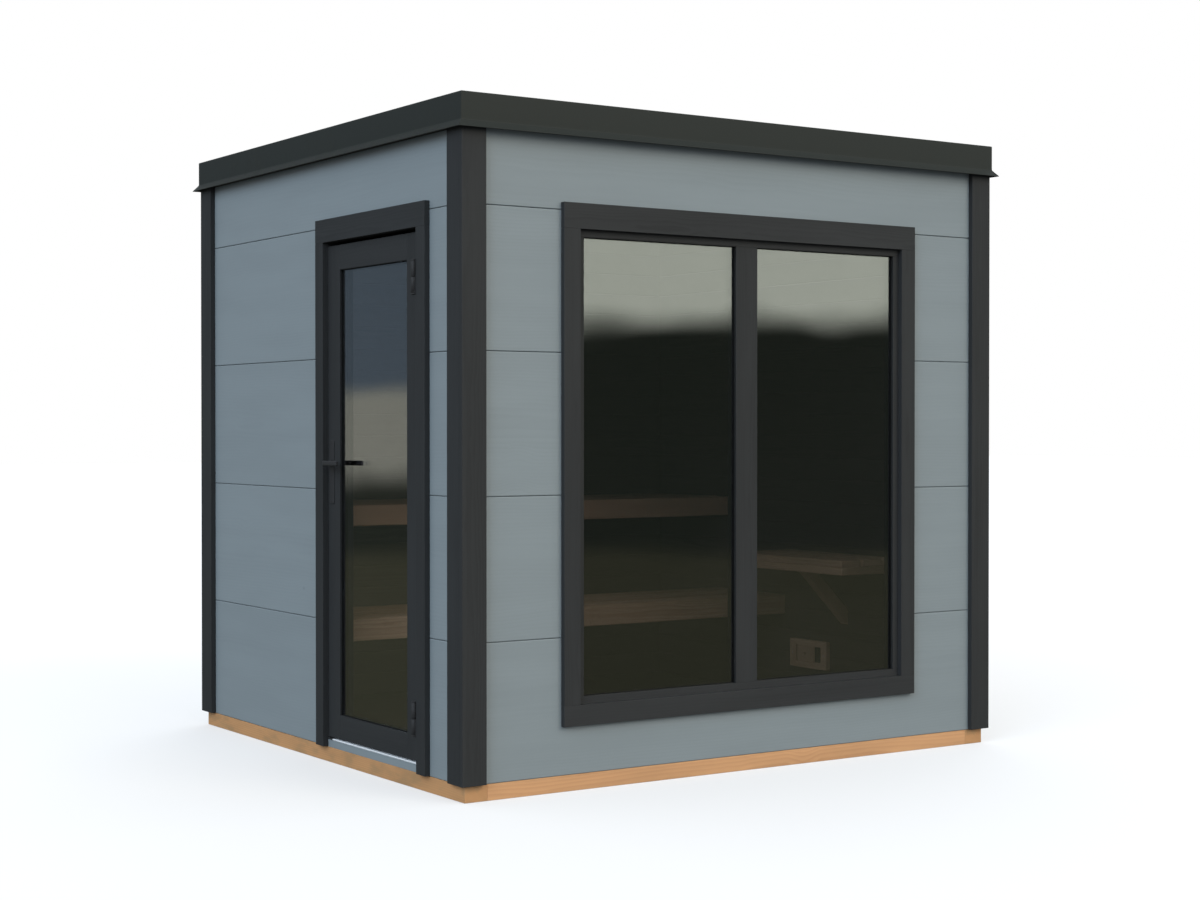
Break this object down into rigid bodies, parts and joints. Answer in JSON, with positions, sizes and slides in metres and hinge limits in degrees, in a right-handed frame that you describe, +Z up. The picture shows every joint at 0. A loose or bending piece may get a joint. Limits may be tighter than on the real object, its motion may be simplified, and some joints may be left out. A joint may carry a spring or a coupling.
{
  "type": "garden sauna house",
  "caption": "Small flat-roofed timber garden sauna house with a glazed door that opens, a large fixed window, dark corner boards and trims, a sheet-metal roof edge and slatted benches inside.",
  "frame": {"origin": "on the ground, in the middle of the plan of the roof edge and walls", "axes": "+Z up, the window wall faces -Y, the door wall faces -X"},
  "size_m": [2.512, 2.31, 2.417],
  "materials": {
    "wall_board": "painted satin",
    "dark_trim": "painted satin",
    "flashing": "satin",
    "membrane": "matt",
    "base_timber": "planed",
    "lining_timber": "dark stained",
    "bench_timber": "planed",
    "insulating_glass": "tinted",
    "bare_metal": "satin",
    "fittings": "satin"
  },
  "bodies": {
    "house": {"base_rims": "base_timber", "base_joists": "base_timber", "floor": "lining_timber", "front_wall_left": "wall_board", "front_wall_right": "wall_board", "front_wall_bottom": "wall_board", "front_wall_top": "wall_board", "door_wall_front": "wall_board", "door_wall_rear": "wall_board", "door_wall_top": "wall_board", "door_wall_sill": "wall_board", "back_wall": "wall_board", "right_wall": "wall_board", "roof_deck": "lining_timber", "roof_membrane": "membrane", "fascia_front": "flashing", "fascia_back": "flashing", "fascia_left": "flashing", "fascia_right": "flashing", "corner_boards_front": "dark_trim", "corner_boards_back": "dark_trim", "corner_boards_left": "dark_trim", "corner_boards_right": "dark_trim", "window_trim_rails": "dark_trim", "window_trim_sides": "dark_trim", "window_frame_rails": "dark_trim", "window_frame_stiles": "dark_trim", "window_glass": "insulating_glass", "door_trim_top": "dark_trim", "door_trim_sides": "dark_trim", "door_jambs": "dark_trim", "door_head_jamb": "dark_trim", "door_threshold": "bare_metal", "hinge_frame_halves": "fittings", "upper_bench": "bench_timber", "lower_bench": "bench_timber", "side_bench": "bench_timber", "vent_frame": "bench_timber"},
    "door_leaf": {"door_stiles": "dark_trim", "door_rails": "dark_trim", "door_glass": "insulating_glass", "hinge_leaf_halves": "fittings", "handle_plates": "fittings"},
    "lever": {"door_lever": "fittings"},
    "vent_cover": {"vent_slider": "bench_timber"}
  },
  "joints": [
    {"name": "door_hinge", "type": "hinge", "parent": "house", "child": "door_leaf", "pos_m": [-1.2315, -0.789, 1], "axis": [0, 0, 1], "range_deg": [0, 110]},
    {"name": "lever_turn", "type": "hinge", "parent": "door_leaf", "child": "lever", "pos_m": [-1.208, -0.1015, 1.144], "axis": [1, 0, 0], "range_deg": [0, 40], "stiffness_Nm_per_rad": 2, "springref_deg": -28.65},
    {"name": "vent_slide", "type": "slide", "parent": "house", "child": "vent_cover", "axis": [0, 1, 0], "range_m": [-0.052, 0]}
  ]
}
